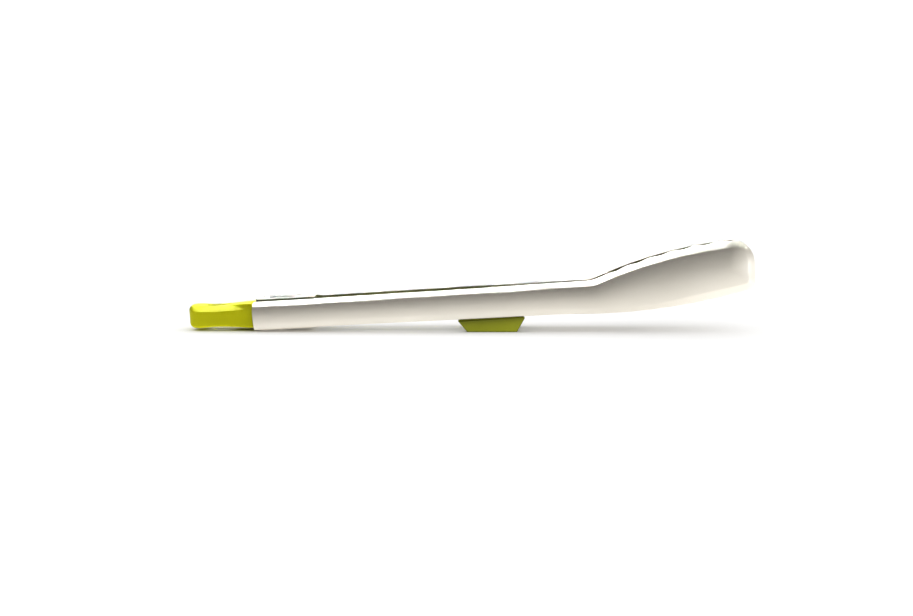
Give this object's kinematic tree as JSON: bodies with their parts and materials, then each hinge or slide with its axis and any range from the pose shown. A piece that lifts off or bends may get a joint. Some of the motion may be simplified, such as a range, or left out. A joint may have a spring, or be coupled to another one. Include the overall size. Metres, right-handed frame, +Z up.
{
  "type": "kitchen tongs",
  "caption": "Spring loaded kitchen tongs with scalloped heads, a pull-loop lock and soft feet that keep the heads off the counter.",
  "frame": {"origin": "middle of the footprint, on the surface that the tongs rest on", "axes": "+X towards the heads, +Y from the front arm to the back arm, +Z up; the tongs lie on one edge, closed and locked"},
  "size_m": [0.3448, 0.033, 0.055],
  "materials": {
    "arm_nylon": "warm white glass-filled nylon, satin",
    "foot_silicone": "lime green silicone, soft matt",
    "loop_silicone": "lime green soft-touch elastomer, matt",
    "cover_plastic": "lime green moulded plastic, matt",
    "pin_steel": "turned stainless steel, satin",
    "spring_steel": "drawn stainless spring wire",
    "lock_steel": "pressed stainless steel, brushed",
    "weight_steel": "zinc-plated steel bar, dull",
    "screw_steel": "stainless screw, satin",
    "bearing_nylon": "black nylon, matt"
  },
  "bodies": {
    "pivot": {"pivot_pin": "pin_steel", "pivot_retainer": "pin_steel", "pivot_washers": "bearing_nylon", "spring_spool": "bearing_nylon", "torsion_spring": "spring_steel"},
    "front_half": {"front_arm": "arm_nylon", "front_foot": "foot_silicone", "front_foot_clip": "bearing_nylon", "front_cover": "cover_plastic", "front_weight": "weight_steel", "front_cover_screws": "screw_steel", "front_spring_seat": "bearing_nylon"},
    "back_half": {"back_arm": "arm_nylon", "back_foot": "foot_silicone", "back_foot_clip": "bearing_nylon", "back_cover": "cover_plastic", "back_weight": "weight_steel", "back_cover_screws": "screw_steel", "back_spring_seat": "bearing_nylon"},
    "lock": {"lock_tongue": "lock_steel", "lock_pin": "pin_steel", "pull_loop": "loop_silicone"}
  },
  "joints": [
    {"name": "front_arm_swing", "type": "hinge", "parent": "pivot", "child": "front_half", "pos_m": [-0.12295, 0, 0.01014], "axis": [0.0558, 0, -0.9984], "range_deg": [0, 12], "deforming": ["torsion_spring"]},
    {"name": "back_arm_swing", "type": "hinge", "parent": "pivot", "child": "back_half", "pos_m": [-0.12295, 0, 0.01014], "axis": [-0.0558, 0, 0.9984], "range_deg": [0, 12]},
    {"name": "lock_slide", "type": "slide", "parent": "pivot", "child": "lock", "axis": [-0.9984, 0, -0.0558], "range_m": [0, 0.014]}
  ],
  "couplings": [
    {"joint": "back_arm_swing", "follows": "front_arm_swing", "ratio": 1},
    {"joint": "lock_slide", "follows": "front_arm_swing", "m_per_rad": 0.066845}
  ]
}
